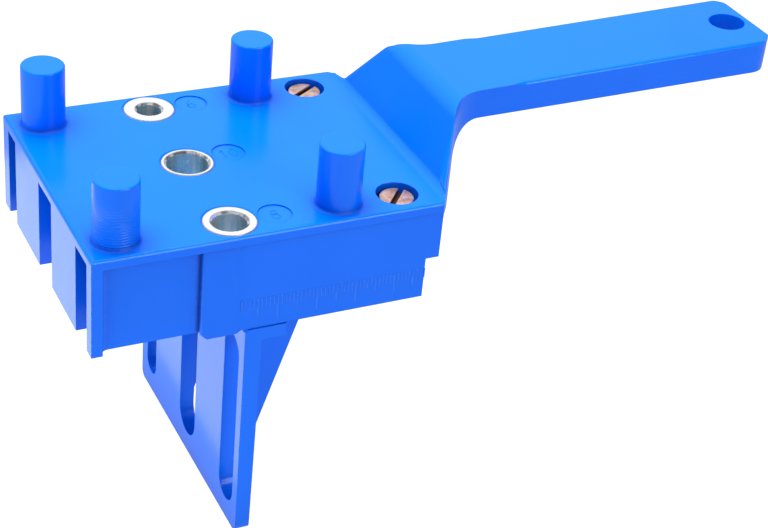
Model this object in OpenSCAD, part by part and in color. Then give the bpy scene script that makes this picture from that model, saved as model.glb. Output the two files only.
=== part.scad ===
// Hand-held dowel jig: a one-piece moulded body with a handle, three steel
// drill bushes, and a slotted fence that slides on two clamping screws.
// The origin is on the axis of the middle bush, in the plane of the block's
// lower edges. X runs along the handle, Y across the three bushes, Z up.

/* [Block] */
// Width of the block across the bushes
block_w = 71; // [70:0.5:80]
// Length of the block from the bush row to its open end
toe_l = 35; // [34:0.5:45]
// Length of the side walls from the bush row towards the handle
heel_l = 48; // [47:0.5:56]
// Height of the block from its lower edges to the top of the plate
block_h = 25.5; // [22:0.5:32]
// Thickness of the top plate
plate_t = 2.5; // [2:0.1:3.5]
// Thickness of the side walls and of the handle's walls
wall_t = 2; // [1.6:0.1:2.4]
// Radius along the outer edges of the top plate and of the handle's top
edge_round = 1; // [0.4:0.1:1.2]
// Length over which the rounds on the handle run out at the root
round_run = 12; // [8:1:20]
// How far the top of the block stands over the side walls at the handle
heel_overhang = 3.3; // [2:0.1:5]
// Height at which that overhang starts
heel_step_h = 10.4; // [10:0.1:12]
// Radius along the lower edge of the overhang
heel_round = 2; // [1:0.1:3]
// How far the walls behind the bush row stand below the other lower edges
guide_drop = 0.3; // [0.1:0.05:0.4]

/* [Sides and open end] */
// Width of the posts at the two corners of the open end
corner_w = 2.7; // [2:0.1:3.5]
// Depth of the recessed panels in the long sides
panel_recess = 2.2; // [1.5:0.1:2.2]
// Thickness of the recessed panels
panel_t = 1.2; // [1:0.1:1.2]
// Depth of the graduated side walls behind the edge of the plate
scale_recess = 0.25; // [0.1:0.05:0.3]
// Radius in the corner between a panel and the post at the open end
panel_fillet = 1.8; // [0.5:0.1:2]
// How far the seat stands below the block, in front of the bush row
seat_drop = 1.3; // [0.5:0.1:2]
// Length of the seat pads from the bush row towards the open end
pad_l = 8.8; // [8.6:0.1:12]
// Depth of the pads' faces behind the long sides
pad_recess = 0.6; // [0.3:0.1:1]
// Radius of the pads' upright front edges
pad_round = 0.8; // [0.3:0.1:1.2]
// Chamfer at the seat's front edge
pad_chamfer = 1.6; // [0.5:0.1:2.5]
// Length of the slope behind the pads and the seat
pad_slope_l = 1.5; // [1:0.1:2.5]
// Thickness of the inner ribs
rib_t = 1.6; // [1.2:0.1:2]

/* [Bushes] */
// Distance from the axes of the outer bushes to the long sides
bush_edge = 7.5; // [7.4:0.1:8.4]
// Drill sizes, from the far side to the near side
drill_d = [6, 10, 8];
// Running clearance of a drill in its bush, on the radius
drill_gap = 0.05; // [0.02:0.01:0.1]
// Outside diameter of the bushes
bush_d = 12.9; // [12.5:0.1:14]
// Clearance of a bush in its seat, on the radius
bush_gap = 0.02; // [0.01:0.01:0.05]
// Chamfer at the mouth of a bush
bush_chamfer = 0.6; // [0.3:0.1:0.9]
// Chamfer round a bush in the top plate
seat_chamfer = 0.3; // [0.1:0.05:0.4]
// Wall round a bush
bush_wall = 1.9; // [1.5:0.1:2.2]
// Extra width of the dowel channels in the open end, over the dowel
channel_gap = 0.2; // [0.1:0.05:0.4]
// Diameter of the round recesses for the drill sizes
mark_d = 8.2; // [7:0.2:8.2]
// Depth of these recesses
mark_depth = 0.25; // [0.1:0.05:0.5]
// Distance from the bush row to these recesses
mark_x = 11.1; // [11.1:0.1:13]
// How far each of them lies beside its bush, from the far side to the near side
mark_shift = [0, 1.7, 0];

/* [Centring posts] */
// Diameter of the posts
post_d = 10.7; // [8:0.1:12]
// Height of the posts above the plate
post_h = 16; // [10:0.5:20]
// Distance of the posts from the bush row
post_x = 27; // [24:0.5:28]
// Distance from the axes of the posts to the long sides
post_edge = 7.5; // [6.5:0.5:9]
// Radius round the foot of a post
post_fillet = 0.7; // [0.3:0.1:1]
// Radius along the top edge of a post
post_round = 0.5; // [0.2:0.1:1]

/* [Handle] */
// Length from the bush row to the end of the handle
handle_l = 158.6; // [140:0.5:180]
// Width of the handle
handle_w = 26.6; // [24:0.2:30]
// Height of the handle's top above the block's lower edges, at the root
handle_top = 41.2; // [38:0.2:44]
// Height of the handle's underside at the same place
handle_under = 33.7; // [31:0.2:34]
// Rise of the top along the handle, in degrees
top_rise = 1.65; // [0:0.05:2.5]
// Rise of the underside along the handle, in degrees
under_rise = 0.85; // [0:0.05:1.5]
// Thickness of the handle's top skin
skin_t = 2.4; // [2:0.1:3]
// Radius of the handle's end corners
end_round = 6; // [3:0.5:6.5]
// Diameter of the hanging hole
hang_d = 9.6; // [6:0.2:10]
// Distance from the hanging hole's centre to the handle's end
hang_edge = 7; // [7:0.1:10]
// Number of cross ribs under the handle
handle_ribs = 4; // [2:1:6]

/* [Handle root] */
// Where the slope of the root leaves the plate, past the side walls
slope_start = 5; // [4.5:0.1:7]
// Angle of that slope, in degrees
slope_angle = 60.6; // [50:0.2:70]
// Radius between the slope and the top of the handle
slope_round = 6; // [3:0.5:8]
// Radius between the plate and the slope
slope_fillet = 3; // [1:0.5:4]
// Radius along the ridges between the slope and the root's flanks
ridge_round = 1.2; // [0.5:0.1:1.5]
// Length of the root from the side walls to its rear wall
root_l = 14.6; // [14:0.1:18]
// Angle of the root's flanks, in degrees
flank_angle = 59.6; // [54:0.2:64]
// Radius between a flank and the handle's side
flank_fillet = 12; // [6:0.5:14]
// Radius between the rear wall and the handle's underside
under_fillet = 8; // [4:0.5:9]

/* [Fence] */
// Distance from the bush row to the fence's face
fence_x = 2.1; // [1:0.1:26.5]
// Depth of the fence's lower edge below the block
fence_h = 62; // [50:0.5:75]
// Thickness of the fence plate at its upper edge
fence_t = 4.4; // [3.2:0.1:4.6]
// Thickness of the fence plate at its lower edge
fence_low_t = 3.7; // [3:0.1:4.4]
// Radius of the fence's lower corners
fence_round = 2; // [1:0.5:5]
// Thickness of the fence's base
base_t = 3.3; // [2.5:0.1:4]
// Length of the base at the two edges
flange_l = 10.5; // [9.6:0.1:12]
// Length of the base in the middle
base_l = 24.4; // [18:0.1:30]
// Gap between the fence's top and the plane of the block's lower edges
base_gap = 0.6; // [0.45:0.05:0.8]
// Depth of the face's upper edge below the seat
fence_sink = 0.05; // [0.02:0.01:0.2]
// Extra width of the dowel slots in the fence, over the dowel
slot_gap = 1; // [0.4:0.1:1.4]
// Height of the rim under the slots
slot_rim = 5.7; // [4:0.1:8]
// Depth of the slots' upper ends below the block
slot_top = 6; // [5:0.5:9]
// Distance between the two gussets
gusset_pitch = 34; // [33:0.5:36]
// Thickness of the gussets
gusset_t = 3; // [2:0.1:3.6]
// Length of a gusset's foot at the fence's lower edge
gusset_foot = 2; // [1:0.5:4]
// Height of that foot above the fence's lower edge
gusset_lift = 1; // [0.5:0.1:2]

/* [Arms and screws] */
// Distance from the bush row to the clamping screws
screw_x = 42.3; // [41.5:0.1:43]
// Length of the arms behind the fence's face
arm_l = 46.2; // [46:0.1:47.5]
// Height of the arms above the block's lower edges
arm_h = 8.5; // [7.5:0.1:8.8]
// Distance from the fence's face to the arms
arm_start = 7.6; // [7.6:0.1:8]
// Wall in front of the arms' channel
arm_front_t = 2.2; // [1.6:0.1:2.2]
// Thickness of the arms over the nut
arm_roof_t = 2.3; // [1.8:0.1:2.6]
// Wall of the arms beside the block's side walls
arm_wall_out = 1.05; // [0.9:0.05:1.2]
// Wall of the arms towards the middle
arm_wall_in = 2.25; // [1.5:0.05:2.6]
// Gap between the arms and the side walls
arm_side_gap = 0.3; // [0.2:0.05:0.5]
// Gap between the arms and what they are clamped against
clamp_gap = 0.1; // [0.05:0.05:0.2]
// Thread diameter of the screws
screw_d = 5; // [4:0.5:5]
// Length of the screws under the head
screw_l = 20; // [19:0.5:21]
// Diameter of the screw heads
head_d = 8.4; // [7.5:0.1:9]
// Height of the screw heads
head_h = 3; // [2.5:0.1:3.2]
// Depth of the screw heads below the plate
head_sink = 0.9; // [0.5:0.1:1.5]
// Diameter of the recesses for the heads
recess_d = 10.3; // [9.6:0.1:10.5]
// Chamfer at the edge of the screw heads
head_edge = 0.4; // [0.2:0.1:0.8]
// Chamfer at the tip of the screws
tip_edge = 0.8; // [0.4:0.1:1]
// Width of the driver slots
driver_w = 1.2; // [0.8:0.1:1.6]
// Depth of the driver slots
driver_depth = 1.4; // [1:0.1:1.8]
// Directions of the driver slots, near and far, in degrees
driver_turn = [49, 22];
// Wall round the screws' recesses
recess_wall = 2.1; // [1.5:0.1:2.2]
// Clearance of a screw in the body, on the radius
screw_gap = 0.25; // [0.15:0.05:0.4]
// Clearance of the thread in its nut, on the radius
thread_gap = 0.05; // [0.02:0.01:0.1]
// Width of the nuts across their flats
nut_w = 8; // [7:0.1:8]
// Thickness of the nuts
nut_h = 4; // [3.2:0.1:4]
// Width of a nut's flat end, inside its chamfer, over the width across the flats
nut_face = 0.95; // [0.9:0.01:1]
// Gap between a nut and each side of its channel
nut_gap = 0.15; // [0.1:0.05:0.2]

/* [Hidden] */
$fn = 64;
// A cut reaches this far past the face that it opens
over = 1;
half_w = block_w / 2;
bush_pitch = half_w - bush_edge;
post_y = half_w - post_edge;
// The fence's face ends under the seat, and a chamfer leads up to its top
face_top = -seat_drop - fence_sink;
face_chamfer = max(0, -base_gap - face_top);
plate_under = block_h - plate_t;
top_l = heel_l + heel_overhang;
bush_y = [bush_pitch, 0, -bush_pitch];
boss_r = bush_d / 2 + bush_wall;
// The arms run beside the side walls and carry the screws' channels
nut_side = nut_w / 2 + nut_gap;
arm_out = half_w - wall_t - arm_side_gap;
screw_y = arm_out - arm_wall_out - nut_side;
arm_in = screw_y - nut_side - arm_wall_in;
channel_start = arm_start + arm_front_t;
nut_top = arm_h - arm_roof_t - clamp_gap;
recess_floor = block_h - head_sink - head_h;
recess_r = recess_d / 2;
screw_boss_r = recess_r + recess_wall;
screw_boss_bottom = arm_h + clamp_gap;
// Gap round the arms in the wall at the handle end
window_gap = 0.5;
panel_y = half_w - panel_recess;
slope_x = heel_l + slope_start;
root_x = heel_l + root_l;
handle_half = handle_w / 2;
hang_x = handle_l - hang_edge;
// Where the flank's line would meet the handle's side
flank_end_x = top_l + (half_w - handle_half) / tan(flank_angle);
handle_rib_start = root_x + wall_t;
handle_rib_pitch = (hang_x - handle_rib_start) / (handle_ribs + 1);

function top_z(x) = handle_top + (x - root_x) * tan(top_rise);
function under_z(x) = handle_under + (x - root_x) * tan(under_rise);
// Where the slope, moved in by some wall, reaches the height z
function slope_at(z, wall) = slope_x + wall / sin(slope_angle) + (z - block_h) / tan(slope_angle);
// Where that slope meets the handle's top line, moved in by some skin
function slope_top_x(wall, skin) =
    let (k = tan(top_rise) / tan(slope_angle))
    (slope_at(handle_top - skin - root_x * tan(top_rise), wall)) / (1 - k);

// The sliver between a corner and the circle that touches both its edges.
// Added to a hollow corner it makes a fillet, taken from an outer corner a
// round. The edges leave the corner at the angles a1 and a2.
module corner(p, a1, a2, r) {
    half = (a2 - a1) / 2;
    mid = (a1 + a2) / 2;
    reach = r / tan(half);
    centre = p + r / sin(half) * [cos(mid), sin(mid)];
    difference() {
        polygon([
            p - over * [cos(mid), sin(mid)],
            p + reach * [cos(a1), sin(a1)],
            centre,
            p + reach * [cos(a2), sin(a2)]
        ]);
        translate(centre)
            circle(r);
    }
}

// A box from one corner to the opposite one
module block(a, b) {
    translate(a)
        cube(b - a);
}

module both_sides() {
    children();
    mirror([0, 1, 0])
        children();
}

// Turns a drawing of the side view, with x and z, into a solid w wide
module side_extrude(w) {
    rotate([90, 0, 0])
        linear_extrude(w, center = true)
            children();
}

// Turns a drawing of the end view, with y and z, into a solid l long
module lengthwise(l) {
    rotate([90, 0, 90])
        linear_extrude(l)
            children();
}

// Seen from above: the root's flanks and the handle, moved in by a wall
module handle_plan(wall) {
    side = handle_half - wall;
    shift = wall / sin(flank_angle);
    flank_x = top_l - shift + wall / tan(flank_angle);
    end_x = flank_end_x - shift + wall / tan(flank_angle);
    difference() {
        union() {
            translate([heel_l - over, -side])
                square([handle_l - wall - heel_l + over, 2 * side]);
            polygon([
                [heel_l - over, half_w - wall],
                [flank_x, half_w - wall],
                [end_x, side],
                [end_x, -side],
                [flank_x, wall - half_w],
                [heel_l - over, wall - half_w]
            ]);
            corner([end_x, side], 0, 180 - flank_angle, flank_fillet + wall);
            mirror([0, 1])
                corner([end_x, side], 0, 180 - flank_angle, flank_fillet + wall);
        }
        corner([handle_l - wall, side], 180, 270, end_round - wall);
        mirror([0, 1])
            corner([handle_l - wall, side], 180, 270, end_round - wall);
    }
}

// Seen from the side: the root's slope, its rear wall and the handle
module handle_side() {
    slope_top = slope_top_x(0, 0);
    difference() {
        union() {
            polygon([
                [heel_l - over, heel_step_h],
                [root_x, heel_step_h],
                [root_x, handle_under],
                [handle_l + over, under_z(handle_l + over)],
                [handle_l + over, top_z(handle_l + over)],
                [slope_top, top_z(slope_top)],
                [slope_x, block_h],
                [heel_l - over, block_h]
            ]);
            corner([slope_x, block_h], slope_angle, 180, slope_fillet);
            corner([root_x, handle_under], -90, under_rise, under_fillet);
        }
        corner([slope_top, top_z(slope_top)], 180 + slope_angle, 360 + top_rise, slope_round);
        corner([root_x, heel_step_h], 90, 180, heel_round);
    }
}

// The space under the root and under the handle, with the rear wall between
module handle_hollow_side() {
    inner_top = slope_top_x(wall_t, skin_t);
    intersection() {
        polygon([
            [heel_l, 0],
            [handle_l, 0],
            [handle_l, top_z(handle_l) - skin_t],
            [inner_top, top_z(inner_top) - skin_t],
            [slope_at(plate_under, wall_t), plate_under],
            [heel_l, plate_under]
        ]);
        union() {
            square([root_x - wall_t, 2 * handle_top]);
            translate([root_x + wall_t, 0])
                square([handle_l, 2 * handle_top]);
        }
    }
}

module block_side() {
    difference() {
        union() {
            translate([-toe_l, 0])
                square([toe_l + heel_l, block_h]);
            translate([0, -guide_drop])
                square([heel_l, block_h]);
            translate([0, heel_step_h])
                square([top_l, block_h - heel_step_h]);
        }
        corner([top_l, heel_step_h], 90, 180, heel_round);
    }
}

// What the rounds along the plate's outer edges take away
module plate_edge_cut() {
    both_sides()
        translate([-toe_l - over, half_w, block_h])
            lengthwise(toe_l + top_l + 2 * over)
                corner([0, 0], 180, 270, edge_round);
    translate([-toe_l, 0, block_h])
        side_extrude(block_w + 2 * over)
            corner([0, 0], 270, 360, edge_round);
}

// What the rounds along the handle's top edges take away. Near the root each
// one runs out of the edge, and at the handle's end they meet.
module handle_edge_cut() {
    start = flank_end_x + flank_fillet / tan(90 - flank_angle / 2) - root_x;
    way = [round_run, -edge_round, -edge_round];
    turn = atan2(edge_round, round_run);
    translate([root_x, 0, handle_top])
        rotate([0, -top_rise, 0]) {
            both_sides() {
                translate([start + round_run, handle_half, 0])
                    lengthwise(handle_l - root_x)
                        corner([0, 0], 180, 270, edge_round);
                translate([start, handle_half + edge_round, edge_round])
                    rotate([0, turn, -turn])
                        lengthwise(norm(way) + edge_round / 4)
                            corner([0, 0], 180, 270, edge_round);
            }
            translate([handle_l - root_x, 0, 0])
                side_extrude(handle_w + 2 * over)
                    corner([0, 0], 180, 270, edge_round);
        }
}

module body_form() {
    side_extrude(block_w)
        block_side();
    intersection() {
        linear_extrude(2 * handle_top)
            handle_plan(0);
        side_extrude(2 * block_w)
            handle_side();
    }
}

module body_hollow() {
    // Under the plate, from the open end to the wall at the handle end
    block([-toe_l + wall_t, -panel_y + panel_t, -over], [heel_l - wall_t, panel_y - panel_t, plate_under]);
    block([pad_slope_l, -half_w + wall_t, -over], [heel_l - wall_t, half_w - wall_t, plate_under]);
    intersection() {
        linear_extrude(2 * handle_top)
            handle_plan(wall_t);
        side_extrude(2 * block_w)
            handle_hollow_side();
    }
}

// The two walls of a dowel channel, from the open end to its bush
module channel_walls(i) {
    half = (drill_d[i] + channel_gap) / 2;
    for (s = [-1, 1])
        translate([-toe_l, bush_y[i] + s * (half + rib_t / 2) - rib_t / 2, 0])
            cube([toe_l, rib_t, plate_under]);
}

module channel_cut(i) {
    half = (drill_d[i] + channel_gap) / 2;
    block([-toe_l - over, bush_y[i] - half, -over], [-boss_r, bush_y[i] + half, plate_under]);
}

module bush_boss(i) {
    translate([0, bush_y[i], -guide_drop])
        cylinder(h = block_h + guide_drop, r = boss_r);
}

// In front of the bush row the bosses and the pads stand below the block
module seat() {
    intersection() {
        union() {
            for (i = [0:2])
                translate([0, bush_y[i], -seat_drop])
                    cylinder(h = seat_drop + plate_t, r = boss_r);
            both_sides()
                block([-pad_l, panel_y - panel_t, -seat_drop], [pad_slope_l, half_w, plate_t]);
        }
        side_extrude(block_w - 2 * pad_recess)
            polygon([
                [-pad_l, pad_chamfer - seat_drop],
                [-pad_l + pad_chamfer, -seat_drop],
                [0, -seat_drop],
                [pad_slope_l, -guide_drop],
                [pad_slope_l, plate_t],
                [-pad_l, plate_t]
            ]);
    }
}

module inner_parts() {
    for (i = [0:2]) {
        channel_walls(i);
        bush_boss(i);
    }
    // The rib that joins the three bosses, and the ribs towards the handle
    block([-rib_t / 2, -bush_pitch, -guide_drop], [rib_t / 2, bush_pitch, plate_under]);
    for (y = [-1, 0, 1] * bush_pitch / 2)
        block([0, y - rib_t / 2, arm_h / 2], [root_x, y + rib_t / 2, handle_top]);
    // One low cross rib on each side of the bush row
    for (x = [-(toe_l + boss_r) / 2, heel_l / 2])
        block([x - rib_t / 2, -half_w, plate_under / 2], [x + rib_t / 2, half_w, plate_under]);
    both_sides()
        translate([screw_x, screw_y, screw_boss_bottom])
            cylinder(h = block_h - screw_boss_bottom, r = screw_boss_r);
}

module handle_ribs_under() {
    block([root_x, -rib_t / 2, 0], [hang_x, rib_t / 2, 2 * handle_top]);
    for (k = [1:handle_ribs])
        translate([handle_rib_start + k * handle_rib_pitch - rib_t / 2, -handle_half, 0])
            cube([rib_t, handle_w, 2 * handle_top]);
    translate([hang_x, 0, 0])
        cylinder(h = 2 * handle_top, r = hang_edge);
}

module post() {
    r = post_d / 2;
    rotate_extrude()
        difference() {
            union() {
                translate([0, -plate_t / 2])
                    square([r, post_h + plate_t / 2]);
                corner([r, 0], 0, 90, post_fillet);
            }
            corner([r, post_h], 180, 270, post_round);
        }
}

module posts() {
    for (x = [-post_x, post_x])
        for (y = [-post_y, post_y])
            translate([x, y, block_h])
                post();
}

// What the round along one ridge takes away, above the plate
module ridge_cut() {
    flank = [sin(flank_angle), cos(flank_angle), 0];
    slope = [-sin(slope_angle), 0, cos(slope_angle)];
    ridge = cross(flank, slope) / norm(cross(flank, slope));
    inward = -flank - slope;
    // The drawing's plane is turned until it stands square to the ridge
    tilt = acos(ridge[2]);
    turn = atan2(ridge[1], ridge[0]);
    across = [cos(tilt) * cos(turn), cos(tilt) * sin(turn), -sin(tilt)];
    level = [-sin(turn), cos(turn), 0];
    mid = atan2(inward * level, inward * across);
    half = acos(-flank * slope) / 2;
    foot = [slope_x, half_w - (slope_x - top_l) * tan(flank_angle), block_h];
    intersection() {
        block([heel_l, 0, block_h], [handle_l, block_w, 2 * handle_top]);
        translate(foot - block_h / 2 * ridge)
            rotate([0, tilt, turn])
                linear_extrude(2 * handle_top)
                    corner([0, 0], mid - half, mid + half, ridge_round);
    }
}

// What a long side loses under the plate's edge: the recesses of the panel, of
// the pad and of the graduated wall
module side_cut() {
    outer = half_w + over;
    low = -seat_drop - over;
    translate([0, 0, low])
        linear_extrude(plate_under - low) {
            difference() {
                translate([-toe_l + corner_w, panel_y])
                    square([toe_l - corner_w - pad_l, outer - panel_y]);
                corner([-toe_l + corner_w, panel_y], 0, 90, panel_fillet);
            }
            corner([-pad_l, half_w - pad_recess], -90, 0, pad_round);
            polygon([
                [-pad_l - over, half_w - pad_recess],
                [0, half_w - pad_recess],
                [pad_slope_l, half_w - scale_recess],
                [top_l + over, half_w - scale_recess],
                [top_l + over, outer],
                [-pad_l - over, outer]
            ]);
        }
}

module bush_seat_cut(i) {
    r = bush_d / 2 + bush_gap;
    translate([0, bush_y[i], 0])
        rotate_extrude()
            polygon([
                [0, -seat_drop - over],
                [r, -seat_drop - over],
                [r, block_h - seat_chamfer],
                [r + seat_chamfer + over, block_h + over],
                [0, block_h + over]
            ]);
}

module screw_cut() {
    translate([screw_x, screw_y, 0]) {
        cylinder(h = block_h + over, d = screw_d + 2 * screw_gap);
        translate([0, 0, recess_floor])
            cylinder(h = block_h, r = recess_r);
    }
}

// The arms leave the block through the wall at the handle end
module arm_window() {
    block(
        [heel_l - wall_t - over, arm_in - window_gap, -over],
        [heel_l + over, arm_out + arm_side_gap, arm_h + window_gap]
    );
}

module body() {
    color([0.13, 0.45, 0.95])
        difference() {
            union() {
                difference() {
                    body_form();
                    body_hollow();
                }
                intersection() {
                    body_form();
                    union() {
                        inner_parts();
                        handle_ribs_under();
                    }
                }
                posts();
                seat();
            }
            for (i = [0:2]) {
                channel_cut(i);
                bush_seat_cut(i);
                translate([mark_x, bush_y[i] + mark_shift[i], block_h - mark_depth])
                    cylinder(h = mark_depth + over, d = mark_d);
            }
            both_sides() {
                side_cut();
                screw_cut();
                arm_window();
                ridge_cut();
            }
            plate_edge_cut();
            handle_edge_cut();
            translate([hang_x, 0, 0])
                cylinder(h = 2 * handle_top, d = hang_d);
        }
}

// A slot with round ends in the fence plate, for one dowel
module fence_slot(i) {
    w = drill_d[i] + slot_gap;
    low = -fence_h + slot_rim + w / 2;
    high = -slot_top - w / 2;
    translate([-over, bush_y[i], 0]) {
        translate([0, 0, low])
            rotate([0, 90, 0])
                cylinder(h = fence_t + 2 * over, d = w);
        translate([0, 0, high])
            rotate([0, 90, 0])
                cylinder(h = fence_t + 2 * over, d = w);
        translate([0, -w / 2, low])
            cube([fence_t + 2 * over, w, high - low]);
    }
}

module fence_plate() {
    difference() {
        intersection() {
            lengthwise(2 * fence_t)
                difference() {
                    translate([-half_w, -fence_h])
                        square([block_w, fence_h - base_gap]);
                    corner([half_w, -fence_h], 90, 180, fence_round);
                    mirror([1, 0])
                        corner([half_w, -fence_h], 90, 180, fence_round);
                }
            side_extrude(2 * block_w)
                polygon([
                    [0, -fence_h],
                    [fence_low_t, -fence_h],
                    [fence_t, -base_gap],
                    [face_chamfer, -base_gap],
                    [0, -base_gap - face_chamfer]
                ]);
        }
        for (i = [0:2])
            fence_slot(i);
    }
}

module gusset() {
    translate([0, gusset_pitch / 2, 0])
        side_extrude(gusset_t)
            polygon([
                [fence_low_t / 2, -fence_h + gusset_lift],
                [fence_low_t + gusset_foot, -fence_h + gusset_lift],
                [base_l, -base_gap - base_t],
                [base_l, -base_gap - base_t / 2],
                [fence_t / 2, -base_gap - base_t / 2]
            ]);
}

// An arm with the channel that holds its nut and the slot for its screw
module arm() {
    sunk = base_gap + base_t / 2;
    difference() {
        union() {
            block([arm_start, arm_in, -base_gap], [arm_l, arm_out, arm_h]);
            block([arm_start, arm_in, -sunk], [flange_l, arm_out, arm_h]);
            block([arm_start, arm_in, -sunk], [base_l, arm_in + arm_wall_in, arm_h]);
        }
        block(
            [channel_start, screw_y - nut_side, -base_gap],
            [arm_l + over, screw_y + nut_side, arm_h - arm_roof_t]
        );
        block(
            [channel_start, screw_y - screw_d / 2 - screw_gap, 0],
            [arm_l + over, screw_y + screw_d / 2 + screw_gap, arm_h + over]
        );
    }
}

module fence() {
    inner_half = arm_in + arm_wall_in;
    color([0.13, 0.45, 0.95])
        translate([fence_x, 0, 0]) {
            fence_plate();
            block([fence_t / 2, -half_w, -base_gap - base_t], [flange_l, half_w, -base_gap]);
            block([fence_t / 2, -inner_half, -base_gap - base_t], [base_l, inner_half, -base_gap]);
            both_sides() {
                gusset();
                arm();
            }
        }
}

// A drill bush: a steel tube, chamfered at its mouth and at its outer edges
module bush(i) {
    bore_r = drill_d[i] / 2 + drill_gap;
    outer_r = bush_d / 2;
    edge = bush_chamfer / 2;
    color([0.85, 0.86, 0.88])
        translate([0, bush_y[i], 0])
            rotate_extrude()
                polygon([
                    [bore_r, 0],
                    [outer_r - edge, 0],
                    [outer_r, edge],
                    [outer_r, block_h - edge],
                    [outer_r - edge, block_h],
                    [bore_r + bush_chamfer, block_h],
                    [bore_r, block_h - bush_chamfer]
                ]);
}

// A slotted cheese-head screw; turn is the angle of its driver slot
module screw(y, turn) {
    color([0.86, 0.66, 0.55])
        translate([screw_x, y, recess_floor])
            difference() {
                rotate_extrude()
                    polygon([
                        [0, -screw_l],
                        [screw_d / 2 - tip_edge, -screw_l],
                        [screw_d / 2, -screw_l + tip_edge],
                        [screw_d / 2, 0],
                        [head_d / 2, 0],
                        [head_d / 2, head_h - head_edge],
                        [head_d / 2 - head_edge, head_h],
                        [0, head_h]
                    ]);
                rotate([0, 0, turn])
                    translate([-head_d, -driver_w / 2, head_h - driver_depth])
                        cube([2 * head_d, driver_w, head_h]);
            }
}

// A hexagon nut, chamfered at both ends
module nut(y) {
    face_r = nut_face * nut_w / 2;
    rim_r = nut_w / 2 / cos(30) + over;
    rise = (rim_r - face_r) * tan(30);
    color([0.75, 0.76, 0.78])
        translate([screw_x, y, nut_top - nut_h])
            difference() {
                intersection() {
                    cylinder(h = nut_h, d = nut_w / cos(30), $fn = 6);
                    rotate_extrude()
                        polygon([
                            [0, 0],
                            [face_r, 0],
                            [rim_r, rise],
                            [rim_r, nut_h - rise],
                            [face_r, nut_h],
                            [0, nut_h]
                        ]);
                }
                translate([0, 0, -over])
                    cylinder(h = nut_h + 2 * over, d = screw_d + 2 * thread_gap);
            }
}

module bush_6() { bush(0); }
module bush_10() { bush(1); }
module bush_8() { bush(2); }
module screw_near() { screw(-screw_y, driver_turn[0]); }
module screw_far() { screw(screw_y, driver_turn[1]); }
module nut_near() { nut(-screw_y); }
module nut_far() { nut(screw_y); }

body();
fence();
bush_6();
bush_10();
bush_8();
screw_near();
screw_far();
nut_near();
nut_far();
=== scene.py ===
import math

import bpy
from mathutils import Matrix, Vector


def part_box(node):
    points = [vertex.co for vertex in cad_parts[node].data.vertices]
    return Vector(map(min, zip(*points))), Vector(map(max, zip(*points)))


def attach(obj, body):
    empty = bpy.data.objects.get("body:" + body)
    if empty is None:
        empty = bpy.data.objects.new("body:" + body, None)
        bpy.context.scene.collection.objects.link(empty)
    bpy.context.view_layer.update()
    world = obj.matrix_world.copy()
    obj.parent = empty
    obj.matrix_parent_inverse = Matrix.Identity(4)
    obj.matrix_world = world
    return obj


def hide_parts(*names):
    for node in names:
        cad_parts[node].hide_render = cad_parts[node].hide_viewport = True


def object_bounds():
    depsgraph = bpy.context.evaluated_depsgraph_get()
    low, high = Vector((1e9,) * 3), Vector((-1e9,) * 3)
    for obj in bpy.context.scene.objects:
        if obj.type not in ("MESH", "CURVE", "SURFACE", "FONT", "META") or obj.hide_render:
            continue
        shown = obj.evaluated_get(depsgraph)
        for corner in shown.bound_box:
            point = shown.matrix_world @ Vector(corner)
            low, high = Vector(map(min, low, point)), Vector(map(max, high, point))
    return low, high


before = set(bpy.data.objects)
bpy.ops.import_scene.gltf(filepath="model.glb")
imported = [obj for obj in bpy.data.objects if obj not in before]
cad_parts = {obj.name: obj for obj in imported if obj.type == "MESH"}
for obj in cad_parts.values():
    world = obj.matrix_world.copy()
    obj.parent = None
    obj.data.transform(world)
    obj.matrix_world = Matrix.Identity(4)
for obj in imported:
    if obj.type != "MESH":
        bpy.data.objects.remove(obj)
cad_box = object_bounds()
MM = 0.001
TURN = 2 * math.pi
# Height of the block's top plate, in millimetres
PLATE_TOP = 25.5
# The driver slot of a clamping screw, in metres
SLOT_WIDTH = 1.5 * MM
SLOT_DEPTH = 1.4 * MM


def middle(low, high):
    """The middle of a box, seen from above."""
    return (low[0] + high[0]) / 2, (low[1] + high[1]) / 2


# Shader nodes

class Value:
    """A number, colour or vector that changes over a surface. Arithmetic adds Math nodes."""

    def __init__(self, nodes, socket):
        self.nodes = nodes
        self.socket = socket

    def math(self, operation, first, second):
        return self.nodes.node("Math", {"operation": operation}, {0: first, 1: second})

    def __add__(self, other):
        return self.math("ADD", self, other)

    def __sub__(self, other):
        return self.math("SUBTRACT", self, other)

    def __rsub__(self, other):
        return self.math("SUBTRACT", other, self)

    def __mul__(self, other):
        return self.math("MULTIPLY", self, other)

    def __gt__(self, other):
        return self.math("GREATER_THAN", self, other)

    def __lt__(self, other):
        return self.math("LESS_THAN", self, other)

    __radd__ = __add__
    __rmul__ = __mul__

    def sine(self):
        return self.math("SINE", self, 0.0)


class Nodes:
    """A node tree that is put together node by node."""

    def __init__(self, tree):
        self.tree = tree
        tree.nodes.clear()

    def node(self, kind, settings=None, inputs=None, output=0):
        """One node of any type, from its settings and then the values or links of its sockets."""
        made = self.tree.nodes.new("ShaderNode" + kind)
        for name, value in (settings or {}).items():
            setattr(made, name, value)
        for name, value in (inputs or {}).items():
            if isinstance(value, Value):
                self.tree.links.new(value.socket, made.inputs[name])
            else:
                made.inputs[name].default_value = value
        if made.outputs:
            return Value(self, made.outputs[output])

    def axis(self, vector, name):
        return self.node("SeparateXYZ", inputs={0: vector}, output=name)

    def ramp(self, value, start, end, low=0.0, high=1.0):
        """A number that goes softly from low at start to high at end."""
        inputs = {"Value": value, "From Min": start, "From Max": end, "To Min": low, "To Max": high}
        return self.node("MapRange", {"interpolation_type": "SMOOTHSTEP"}, inputs)


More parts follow.
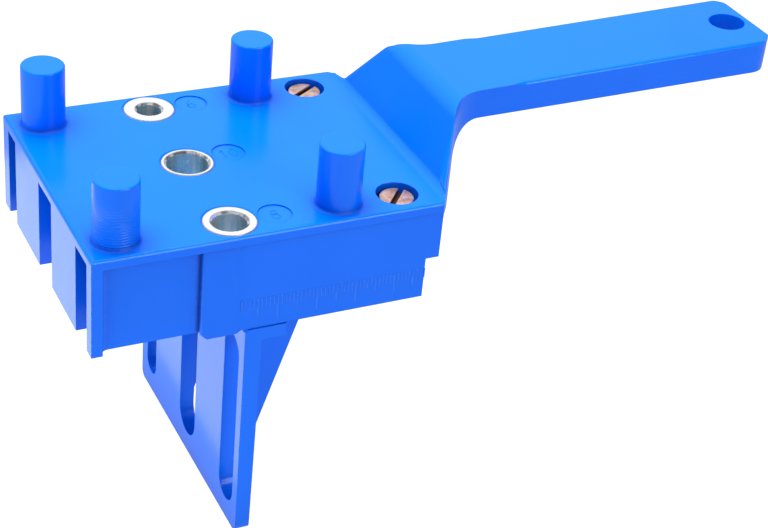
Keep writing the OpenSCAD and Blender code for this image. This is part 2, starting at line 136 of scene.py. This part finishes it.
class Finish(Nodes):
    """A material. Its texture places are in metres, in the frame of the CAD."""

    def __init__(self, name):
        self.material = bpy.data.materials.new(name)
        self.material.use_nodes = True
        super().__init__(self.material.node_tree)
        self.place = self.node("TexCoord", output="Object")

    def vector(self, operation, first, second, output=0):
        return self.node("VectorMath", {"operation": operation}, {0: first, 1: second}, output)

    def noise(self, scale, detail, place=None):
        """Cloudy noise from 0 to 1, with so many clouds to a metre."""
        inputs = {"Vector": place or self.place, "Scale": scale, "Detail": detail}
        return self.node("TexNoise", {}, inputs)

    def openness(self, distance):
        """1 where no surface of the piece stands within that distance, less in its corners."""
        settings = {"samples": 6, "only_local": True}
        return self.node("AmbientOcclusion", settings, {"Distance": distance}, "AO")

    def blend(self, factor, first, second):
        """A colour between two others, each given as three numbers or as a value."""
        ends = [c if isinstance(c, Value) else c + (1.0,) for c in (first, second)]
        settings = {"data_type": "RGBA", "clamp_factor": True}
        return self.node("Mix", settings, {0: factor, 6: ends[0], 7: ends[1]}, output=2)

    def bump(self, height, distance, under=None):
        """A relief: height from 0 to 1 stands for that many metres."""
        inputs = {"Height": height, "Distance": distance, "Strength": 1.0}
        if under:
            inputs["Normal"] = under
        return self.node("Bump", {}, inputs)

    def surface(self, **sockets):
        inputs = {name.replace("_", " "): value for name, value in sockets.items()}
        shader = self.node("BsdfPrincipled", {}, inputs)
        self.node("OutputMaterial", {}, {"Surface": shader})
        return self.material


# Finishes

def moulded_plastic(name, deep, dull, bright, ridged_post=False):
    """Glossy blue plastic with flow marks, a fine grain and a few rubbed patches, and painted shade
    in its hollows, inner corners and post feet.
    """
    f = Finish(name)
    flow = f.noise(38.0, 2.0)
    rubbed = f.noise(170.0, 5.0, f.vector("MULTIPLY", f.place, (0.35, 1.0, 1.0)))
    grain = f.noise(2600.0, 2.0)
    along, height = f.axis(f.place, "X"), f.axis(f.place, "Z")
    # The feet of the four posts count as corners, so that no pale ring shows there; painted shade
    # darkens them too
    foot_low, foot_high = (PLATE_TOP + 0.02) * MM, (PLATE_TOP + 0.6) * MM
    posts_end = 46 * MM
    post_foot = (height > foot_low) * (height < foot_high) * (along < posts_end)
    in_the_open = f.ramp(f.openness(1.4 * MM), 0.5, 0.97) * (1 - post_foot * 0.7)
    # Painted shade: hollows and inner corners turn towards the shade colour
    clear_of_hollow_shade = f.ramp(f.openness(9 * MM), 0.3, 0.95)
    colour = f.blend(clear_of_hollow_shade, deep, f.blend(flow, dull, bright))
    colour = f.blend(in_the_open, deep, colour)
    # The small rounds that a mould leaves along every outer edge, while inner corners stay sharp
    flat = f.node("NewGeometry", output="Normal")
    rounded = f.node("Bevel", {"samples": 4}, {"Radius": 0.22 * MM})
    ends = {0: in_the_open, 4: flat, 5: rounded}
    relief = f.node("Mix", {"data_type": "VECTOR"}, ends, output=1)
    relief = f.bump(flow * 0.6 + rubbed * 0.4, 0.05 * MM, under=relief)
    relief = f.bump(grain, 0.003 * MM, under=relief)
    if ridged_post:
        # The turning marks that the mould leaves on the near post at the open end
        spacing, corner = 0.7 * MM, -20 * MM
        marks = (height * (TURN / spacing)).sine() * 0.5 + 0.5
        at_the_corner = (along < corner) * (f.axis(f.place, "Y") < corner)
        on_the_post = at_the_corner * (height > (PLATE_TOP + 0.7) * MM)
        fade = f.ramp(height, 40 * MM, 30 * MM)
        relief = f.bump(marks * on_the_post * fade, 0.12 * MM, under=relief)
    return f.surface(
        Base_Color=colour,
        Roughness=0.17 + rubbed * 0.1 + (1 - in_the_open) * 0.3,
        IOR=1.36,
        Normal=relief,
    )


def turned_steel(name, node, bore):
    """Bright steel with the lathe's fine rings round a bush's axis, a painted reflection of streaks
    on the inner chamfer, a painted shade line round the rim and a painted bluish streaked
    reflection in the bore.
    """
    f = Finish(name)
    low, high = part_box(node)
    centre = middle(low, high)
    rim, wall = high[0] - centre[0], bore / 2
    offset = f.vector("SUBTRACT", f.place, centre + (0.0,))
    offset = f.vector("MULTIPLY", offset, (1.0, 1.0, 0.0))
    radius = f.vector("LENGTH", offset, (0.0, 0.0, 0.0), output="Value")
    inputs = {"W": radius * 9000.0, "Scale": 1.0, "Detail": 2.0}
    rings = f.node("TexNoise", {"noise_dimensions": "1D"}, inputs)
    cloud = f.noise(420.0, 3.0)
    streaks = f.noise(420.0, 2.0, f.vector("MULTIPLY", f.place, (1.0, 1.0, 0.03)))
    polished = f.blend(cloud, (0.88, 0.9, 0.93), (0.97, 0.98, 1.0))
    # Painted reflection: dark and light streaks on the inner chamfer
    chamfer_reflection = f.blend(f.ramp(streaks, 0.42, 0.58), (0.2, 0.19, 0.2), (0.85, 0.88, 0.92))
    chamfer = f.ramp(radius + (cloud - 0.5) * (0.6 * MM), wall + 0.8 * MM, wall + 0.4 * MM)
    # Painted shade: a dark line round the outer edge of the rim
    rim_shade_line = f.ramp(radius, rim - 0.4 * MM, rim)
    outside = f.blend(rim_shade_line, f.blend(chamfer, polished, chamfer_reflection), (0.2, 0.28, 0.4))
    # Painted reflection: bluish and white streaks in the bore
    bore_reflection = f.blend(f.ramp(streaks, 0.4, 0.6), (0.46, 0.76, 0.94), (1.0, 1.0, 1.0))
    in_bore = radius < wall + 0.1 * MM
    return f.surface(
        Base_Color=f.blend(in_bore, outside, bore_reflection),
        Metallic=in_bore * 0.15 + 0.75,
        Roughness=0.2 + cloud * 0.12,
        Normal=f.bump(rings, 0.006 * MM),
    )


def zinc_plating(name):
    f = Finish(name)
    cloud = f.noise(420.0, 3.0)
    return f.surface(
        Base_Color=f.blend(cloud, (0.55, 0.56, 0.57), (0.7, 0.7, 0.7)),
        Metallic=1.0,
        Roughness=0.25 + cloud * 0.15,
        Normal=f.bump(f.noise(3000.0, 2.0), 0.008 * MM),
    )


def copper_plating(name, head_top):
    """Thin copper-coloured plating with pale spots and a fine grain, and painted shade at the
    slot's height.
    """
    f = Finish(name)
    cloud = f.noise(520.0, 4.0)
    spots = f.noise(2600.0, 2.0)
    wear = f.ramp(cloud * 0.7 + spots * 0.3, 0.32, 0.66)
    plated = f.blend(wear, (0.52, 0.28, 0.2), (0.9, 0.66, 0.56))
    height = f.axis(f.place, "Z")
    # Painted shade: the slot's walls and floor are dark, and so is the head's side at the same
    # height
    slot_top, slot_floor = head_top - 0.45 * MM, head_top - SLOT_DEPTH - 0.2 * MM
    slot_shade = (height < slot_top) * (height > slot_floor)
    return f.surface(
        Base_Color=f.blend(slot_shade, plated, (0.13, 0.06, 0.04)),
        Metallic=0.8,
        Roughness=0.28 + spots * 0.25,
        Normal=f.bump(spots, 0.01 * MM),
    )


def white_floor(name):
    """A floor that glows white, so that no shadow shows on it."""
    f = Finish(name)
    cloud = f.noise(3.0, 2.0)
    return f.surface(
        Base_Color=f.blend(cloud, (0.07, 0.07, 0.07), (0.09, 0.09, 0.09)),
        Roughness=0.9,
        Emission_Color=(1.0, 1.0, 1.0, 1.0),
        Emission_Strength=1.0,
    )


# The first colour of each blue is its painted shade for hollows and inner corners
BODY_BLUE = moulded_plastic(
    "blue_body_plastic",
    deep=(0.0, 0.055, 0.42), dull=(0.0, 0.118, 0.78), bright=(0.0, 0.138, 0.86),
    ridged_post=True)
FENCE_BLUE = moulded_plastic(
    "blue_fence_plastic",
    deep=(0.0, 0.06, 0.42), dull=(0.0, 0.122, 0.8), bright=(0.0, 0.14, 0.87))
# A lighter copy of the blue plastic: a painted highlight on the graduation's ribs
PAINTED_LIGHT_RIB_BLUE = moulded_plastic(
    "painted_light_rib_plastic",
    deep=(0.0, 0.1, 0.7), dull=(0.006, 0.155, 0.85), bright=(0.018, 0.19, 0.92))
NUT_ZINC = zinc_plating("zinc_plated_nut")
SCREW_COPPER = copper_plating("copper_plated_screw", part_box("screw_near")[1][2])


# The CAD nodes

def finished(node, material):
    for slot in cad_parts[node].material_slots:
        slot.material = material


finished("body", BODY_BLUE)
finished("fence", FENCE_BLUE)
for drill in (6, 10, 8):
    bush = "bush_%d" % drill
    finished(bush, turned_steel("turned_steel_" + bush, bush, drill * MM))


# Mesh tools. A shape is a list of points and a list of faces.

def linked(name, data):
    made = bpy.data.objects.new(name, data)
    bpy.context.scene.collection.objects.link(made)
    return made


def link_mesh(name, shape):
    points, faces = shape
    mesh = bpy.data.meshes.new(name)
    mesh.from_pydata(points, [], faces)
    return linked(name, mesh)


def piece(name, shape, material, body):
    """A piece of its own that moves with a body and takes its finish from a slot."""
    made = link_mesh(name, shape)
    made.data.validate()
    made.data.materials.append(material)
    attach(made, body)
    return made


def skin(rings, closed):
    """Faces between rings of points, each ring as long as the others."""
    n = len(rings[0])
    points = [p for ring in rings for p in ring]
    pairs = [(k, k + 1) for k in range(len(rings) - 1)]
    if closed:
        pairs.append((len(rings) - 1, 0))
    faces = []
    for a, b in pairs:
        for i in range(n):
            j = (i + 1) % n
            faces.append((a * n + i, a * n + j, b * n + j, b * n + i))
    if not closed:
        faces.append(tuple(range(n))[::-1])
        faces.append(tuple(range(len(points) - n, len(points))))
    return points, faces


def joined(shapes):
    """Several shapes as one."""
    points, faces = [], []
    for more_points, more_faces in shapes:
        faces += [tuple(len(points) + k for k in face) for face in more_faces]
        points += more_points
    return points, faces


def ring(centre, radius, z, steps=60):
    """A ring of points; radius is a number or a function of the angle and z."""
    points = []
    for i in range(steps):
        angle = TURN * i / steps
        r = radius(angle, z) if callable(radius) else radius
        points.append((centre[0] + r * math.cos(angle), centre[1] + r * math.sin(angle), z))
    return points


def thread(outer, depth, pitch=0.8 * MM):
    """The radius of a thread at an angle and height, with flat crests at outer."""
    def radius(angle, z):
        phase = (z / pitch - angle / TURN) % 1.0
        flank = abs(2 * phase - 1)
        return outer - depth * min(1.0, max(0.0, 1.25 * flank - 0.12))
    return radius


def smooth(made, angle):
    """Smooth shading, with sharp edges where faces meet at more than that many degrees."""
    made.data.shade_smooth()
    made.data.set_sharp_from_angle(angle=math.radians(angle))


def cut(made, cutter):
    """Takes a closed form out of a piece."""
    boolean = made.modifiers.new("cut", "BOOLEAN")
    boolean.operation = "DIFFERENCE"
    boolean.solver = "EXACT"
    boolean.object = cutter
    bpy.context.view_layer.update()
    evaluated = made.evaluated_get(bpy.context.evaluated_depsgraph_get())
    shape = bpy.data.meshes.new_from_object(evaluated)
    made.modifiers.clear()
    made.data = shape
    bpy.data.objects.remove(cutter)


def box_at(centre, size, turn):
    """A box to cut with, turned by so many degrees as seen from above."""
    x, y, z = (s / 2 for s in size)
    corners = [(a, b, c) for a in (-x, x) for b in (-y, y) for c in (-z, z)]
    faces = [(0, 1, 3, 2), (4, 6, 7, 5), (0, 4, 5, 1), (2, 3, 7, 6), (0, 2, 6, 4), (1, 5, 7, 3)]
    spin = Matrix.Rotation(math.radians(turn), 4, "Z")
    points = [tuple(spin @ Vector(corner) + Vector(centre)) for corner in corners]
    return link_mesh("cutter", (points, faces))


# The ridges of the root, in millimetres

BLOCK_HALF = 35.5
HANDLE_HALF = 13.3
# Where the flanks and the slope start
HEEL_END = 51.3
SLOPE_FOOT = 53.0
# A place on the handle's top
TOP_X, TOP_Z = 62.6, 41.2
SLOPE = math.radians(60.6)
FLANK = math.radians(59.6)
TOP_RISE = math.radians(1.65)
SLOPE_ROUND = 6.0
FLANK_FILLET = 12.0
FLANK_END = HEEL_END + (BLOCK_HALF - HANDLE_HALF) / math.tan(FLANK)
FILLET_X = FLANK_END + FLANK_FILLET * math.tan(FLANK / 2)
FILLET_START = FILLET_X - FLANK_FILLET * math.sin(FLANK)
# How far a ridge's round reaches across the slope and down the flank, and how full it is
ROUND_ACROSS = 4.15
ROUND_DOWN = 4.27
ROUND_WEIGHT = 0.353
# How much of the round is left at the plate, and where it has run out
LEFT_AT_START = 1.03
LEFT_AT_END = 0.05
# The pieces: from where to where, how deep under the solid's surface, how far past its round
RUN_OUT = (53.95, 64.3)
SUNK = 0.008
SPARE = 0.03


def slope_plane(x):
    return PLATE_TOP + (x - SLOPE_FOOT) * math.tan(SLOPE)


def handle_top(x):
    return TOP_Z + (x - TOP_X) * math.tan(TOP_RISE)


def flank_plane(x):
    return BLOCK_HALF - (x - HEEL_END) * math.tan(FLANK)


def root_top(x):
    """Height of the root: its slope, the round above it and the handle's top."""
    gap = handle_top(SLOPE_FOOT) - PLATE_TOP
    meeting = SLOPE_FOOT + gap / (math.tan(SLOPE) - math.tan(TOP_RISE))
    reach = SLOPE_ROUND * math.tan((SLOPE - TOP_RISE) / 2)
    start = meeting - reach * math.cos(SLOPE)
    if x < start:
        return slope_plane(x)
    if x > meeting + reach * math.cos(TOP_RISE):
        return handle_top(x)
    centre_x = start + SLOPE_ROUND * math.sin(SLOPE)
    centre_z = slope_plane(start) - SLOPE_ROUND * math.cos(SLOPE)
    return centre_z + math.sqrt(SLOPE_ROUND ** 2 - (x - centre_x) ** 2)


def root_side(x):
    """Half the width of the root: its flank and the fillet that meets the handle."""
    if x < FILLET_START:
        return flank_plane(x)
    return HANDLE_HALF + FLANK_FILLET - math.sqrt(FLANK_FILLET ** 2 - (x - FILLET_X) ** 2)


def rounded_corner(y, z, across, down, steps=8):
    """Points on the round of an outer corner, from the flank to the slope."""
    points = []
    for k in range(steps + 1):
        t = k / steps
        first, corner, last = (1 - t) ** 2, 2 * t * (1 - t) * ROUND_WEIGHT, t * t
        whole = first + corner + last
        points.append((y - across * last / whole, z - down * first / whole))
    return points


def ridge_run_out(name, side, steps=90):
    """The ridge between the slope and a flank, whose round runs out into the handle's edge."""
    start, end = RUN_OUT
    rings = []
    for k in range(steps + 1):
        x = start + (end - start) * k / steps
        # How much of the round is left, and how much of the solid's round is to be covered
        run = min(1.0, (x - start) / (FILLET_START - start))
        left = LEFT_AT_START + (LEFT_AT_END - LEFT_AT_START) * run
        covered = max(0.02, 1 - (slope_plane(x) - root_top(x)) / ROUND_DOWN)
        across, down = ROUND_ACROSS * left, ROUND_DOWN * left
        width = max(root_side(x) - flank_plane(x) + ROUND_ACROSS * covered, across) + SPARE
        depth = max(ROUND_DOWN * covered, down) + SPARE
        y, z = root_side(x) - SUNK, root_top(x) - SUNK
        section = [(y, z - depth)] + rounded_corner(y, z, across, down) + [(y - width, z)]
        points = [(x * MM, side * y * MM, z * MM) for y, z in section]
        rings.append(points if side > 0 else points[::-1])
    made = piece(name, skin(rings, False), BODY_BLUE, "jig_body")
    smooth(made, 35)


ridge_run_out("root_ridge_near", -1)
ridge_run_out("root_ridge_far", 1)


# Screws and nuts

def clamping_screw(node, turn):
    """A slotted cheese-head screw with a cut thread."""
    low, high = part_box(node)
    centre = middle(low, high)
    tip, top = low[2], high[2]
    head, head_height = (high[0] - low[0]) / 2, 3.0 * MM
    seat = top - head_height
    neck = 2.2 * MM
    edge = 0.4 * MM
    shank = thread(2.5 * MM, 0.45 * MM)
    thread_start, thread_end, thread_step = tip + 0.8 * MM, seat - 1.0 * MM, 0.1 * MM
    rings = [ring(centre, 1.2 * MM, tip), ring(centre, 1.7 * MM, tip + 0.02 * MM)]
    z = thread_start
    while z < thread_end:
        rings.append(ring(centre, shank, z))
        z += thread_step
    rings += [
        ring(centre, neck, seat - 0.9 * MM),
        ring(centre, neck, seat),
        ring(centre, head - edge / 3, seat),
        ring(centre, head, seat + edge / 3),
        ring(centre, head, top - edge),
        ring(centre, head - 0.3 * edge, top - 0.3 * edge),
        ring(centre, head - edge, top),
    ]
    made = piece("threaded_" + node, skin(rings, False), SCREW_COPPER, node)
    past_the_head = 12 * MM
    slot_size = (past_the_head, SLOT_WIDTH, 2 * SLOT_DEPTH)
    cut(made, box_at(centre + (top,), slot_size, turn))
    smooth(made, 32)
    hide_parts(node)


def hexagon_nut(node):
    """A hexagon nut with chamfered corners and a cut thread."""
    low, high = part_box(node)
    centre = middle(low, high)
    bottom, top = low[2], high[2]
    flat = (high[1] - low[1]) / 2
    corner = flat / math.cos(math.radians(30))

    def outline(angle, z):
        across = (angle % (math.pi / 3)) - math.pi / 6
        depth = min(z - bottom, top - z)
        return min(flat / math.cos(across), corner - 0.55 * MM + 2.2 * depth)

    hole = thread(2.55 * MM, 0.4 * MM)
    # Up the outside, with more rings where the chamfers curve, then down the thread
    rings = [
        ring(centre, outline, bottom + (top - bottom) * part)
        for part in (0.0, 0.03, 0.06, 0.1, 0.5, 0.9, 0.94, 0.97, 1.0)
    ]
    rings += [ring(centre, hole, bottom + (top - bottom) * k / 40) for k in range(40, -1, -1)]
    made = piece("threaded_" + node, skin(rings, True), NUT_ZINC, node)
    smooth(made, 32)
    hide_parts(node)


clamping_screw("screw_near", 49)
clamping_screw("screw_far", 33)
hexagon_nut("nut_near")
hexagon_nut("nut_far")


# Graduation and drill sizes

def graduation_line(k):
    """The line at k millimetres, a low rib with sloping flanks."""
    wall = -35.25 * MM
    length = 6.2 if k % 10 == 0 else 4.4 if k % 5 == 0 else 2.6
    x, high = k * MM, 7.8 * MM
    low = high - length * MM
    # Its foot inside the wall and its crest: place, reach to both sides, shortening of the ends
    sections = ((wall + 0.1 * MM, 0.26, 0.14, -0.06), (wall - 0.15 * MM, 0.08, 0.1, 0.08))
    rings = []
    for y, left, right, slim in sections:
        x0, x1 = x - left * MM, x + right * MM
        z0, z1 = low + slim * MM, high - slim * MM
        rings.append([(x0, y, z0), (x1, y, z0), (x1, y, z1), (x0, y, z1)])
    return skin(rings, False)


def graduation(lines):
    """The millimetre lines on the near long side."""
    shape = joined(graduation_line(k) for k in range(1, lines + 1))
    # The ribs take the lighter blue, a painted highlight
    piece("graduation", shape, PAINTED_LIGHT_RIB_BLUE, "jig_body")


def arc(x, y, rx, ry, start, end, steps):
    """Points on an oval's edge, from one angle to another in degrees."""
    angles = [math.radians(start + (end - start) * k / steps) for k in range(steps + 1)]
    return [(x + rx * math.cos(a), y + ry * math.sin(a)) for a in angles]


# The digits in millimetres, round their middle, as lines. A closed line ends where it starts.
DIGITS = {
    "0": [arc(0, 0, 1.0, 1.7, 0, 360, 36)],
    "1": [[(-0.6, 1.0), (0.15, 1.7), (0.15, -1.7)]],
    "6": [arc(0, -0.75, 0.95, 0.95, 0, 360, 30), arc(0.35, -0.75, 1.3, 2.45, 180, 98, 14)],
    "8": [arc(0, 0.85, 0.8, 0.85, 0, 360, 28), arc(0, -0.85, 1.0, 0.85, 0, 360, 30)],
}
DIGIT_STEP = 2.7


def raised_line(path, low, high):
    """A low rib along a line of points, with sloping flanks."""
    closed = math.dist(path[0], path[-1]) < 1e-6
    if closed:
        path = path[:-1]
    foot, crest = 0.2 * MM, 0.12 * MM
    rings = []
    for k, (x, y) in enumerate(path):
        before = path[k - 1] if closed or k else path[k]
        after = path[(k + 1) % len(path)] if closed or k + 1 < len(path) else path[k]
        way = Vector((after[0] - before[0], after[1] - before[1])).normalized()
        rings.append([
            (x - way.y * half, y + way.x * half, z)
            for half, z in ((foot, low), (crest, high), (-crest, high), (-foot, low))
        ])
    return skin(rings, closed)


def drill_size(label, x, y):
    """The plain number in the round recess beside a bush, read from the near long side."""
    recess_floor = 25.25 * MM
    relief = 0.1 * MM
    shapes = []
    for k, digit in enumerate(label):
        shift = (k - (len(label) - 1) / 2) * DIGIT_STEP
        for line in DIGITS[digit]:
            path = [((x + px + shift) * MM, (y + py) * MM) for px, py in line]
            shapes.append(raised_line(path, recess_floor - relief, recess_floor + relief))
    piece("drill_size_" + label, joined(shapes), BODY_BLUE, "jig_body")


graduation(48)
RECESS_X = 11.1
for label, recess_y in (("6", 28.0), ("10", 1.7), ("8", -28.0)):
    drill_size(label, RECESS_X, recess_y)


# Floor, light and camera, in metres

def floor(reach):
    z = cad_box[0][2] - 0.05 * MM
    points = [(-reach, -reach, z), (reach, -reach, z), (reach, reach, z), (-reach, reach, z)]
    made = link_mesh("floor", (points, [(0, 1, 2, 3)]))
    made.data.materials.append(white_floor("white_floor"))
    made.visible_glossy = False


def soft_light(name, place, target, size, power, glossy=True):
    data = bpy.data.lights.new(name, "AREA")
    data.shape = "RECTANGLE"
    data.size, data.size_y = size
    data.energy = power
    made = linked(name, data)
    made.location = place
    made.rotation_mode = "QUATERNION"
    made.rotation_quaternion = (Vector(target) - Vector(place)).to_track_quat("-Z", "Y")
    made.visible_camera = False
    made.visible_glossy = glossy


def room_light(floor_level, low, high):
    """Bright overhead and behind the jig, dim on the other sides, and even below the horizon."""
    world = bpy.data.worlds.new("studio")
    bpy.context.scene.world = world
    world.use_nodes = True
    n = Nodes(world.node_tree)
    way = n.node("TexCoord", output="Generated")
    inputs = {0: way, 1: (0.0, 0.6, 0.8)}
    facing = n.node("VectorMath", {"operation": "DOT_PRODUCT"}, inputs, "Value")
    under = n.axis(way, "Z") < 0.0
    strength = n.ramp(facing, 0.45, 0.88, low, high) * (1 - under) + under * floor_level
    light = n.node("Background", {}, {"Color": (1.0, 1.0, 1.0, 1.0), "Strength": strength})
    n.node("OutputWorld", {}, {"Surface": light})


def photo_camera():
    """The camera of the photo, fitted to the block's edges."""
    data = bpy.data.cameras.new("camera")
    made = linked("camera", data)
    x, y, z = -0.1362, -0.35699, 0.24348
    right = Vector((0.90181, -0.42372, 0.08487)).normalized()
    ahead = Vector((0.39966, 0.7431, -0.53672)).normalized()
    up = right.cross(ahead)
    made.matrix_world = Matrix((
        (right.x, up.x, -ahead.x, x),
        (right.y, up.y, -ahead.y, y),
        (right.z, up.z, -ahead.z, z),
        (0, 0, 0, 1)))
    data.sensor_width = 36
    data.lens = 85.738
    data.clip_start = 0.01
    bpy.context.scene.camera = made


floor(reach=40)
room_light(floor_level=0.6, low=0.03, high=0.66)
soft_light(
    "overhead", place=(-0.05, 0.08, 0.58), target=(0.02, 0, 0),
    size=(0.65, 0.5), power=8.7, glossy=False)
soft_light(
    "front", place=(0.35, -0.75, 0.45), target=(0.05, 0, 0),
    size=(0.5, 0.5), power=4.9)
soft_light(
    "low_glow", place=(-0.065, 0.03, -0.06), target=(-0.065, 0.03, 1),
    size=(0.12, 0.26), power=0.095)
soft_light(
    "left_fill", place=(-0.36, 0, -0.045), target=(-0.03, 0, 0.01),
    size=(0.2, 0.06), power=0.8, glossy=False)
photo_camera()
bpy.context.scene.view_settings.view_transform = "Standard"
